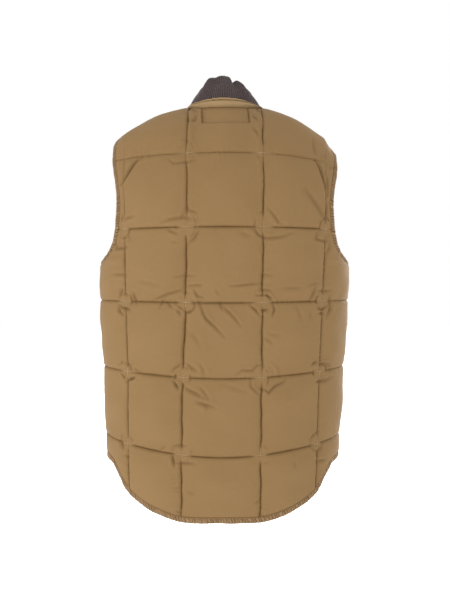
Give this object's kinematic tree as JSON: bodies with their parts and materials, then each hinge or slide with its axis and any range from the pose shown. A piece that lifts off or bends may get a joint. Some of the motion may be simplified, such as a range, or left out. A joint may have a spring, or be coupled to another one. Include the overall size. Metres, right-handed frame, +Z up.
{
  "type": "quilted vest",
  "caption": "Sleeveless quilted vest, filled out as worn: padded squares, a rib-knit collar, gathered edge bindings, a long rounded tail and a snap front.",
  "frame": {"origin": "middle of the line on which the shoulders carry the vest, under the shoulder seams", "axes": "+Z up, the front faces -Y and the back +Y, +X is the wearer's left"},
  "size_m": [0.4344, 0.3098, 0.7523],
  "materials": {
    "shell_cloth": "fine tan weave, a little sheen",
    "binding_cloth": "the same tan cloth, gathered",
    "rib_knit": "matt dark brown rib knit",
    "snap_metal": "aged, satin"
  },
  "bodies": {
    "root": {"back_panel": "shell_cloth", "front_left": "shell_cloth", "front_right": "shell_cloth", "front_band": "shell_cloth", "under_band": "shell_cloth", "neck_band": "shell_cloth", "collar_knit": "rib_knit", "armhole_binding_left": "binding_cloth", "armhole_binding_right": "binding_cloth", "hem_binding_back": "binding_cloth", "hem_binding_left": "binding_cloth", "hem_binding_right": "binding_cloth", "snap_1": "snap_metal", "snap_2": "snap_metal", "snap_3": "snap_metal", "snap_4": "snap_metal", "snap_5": "snap_metal"}
  },
  "joints": []
}
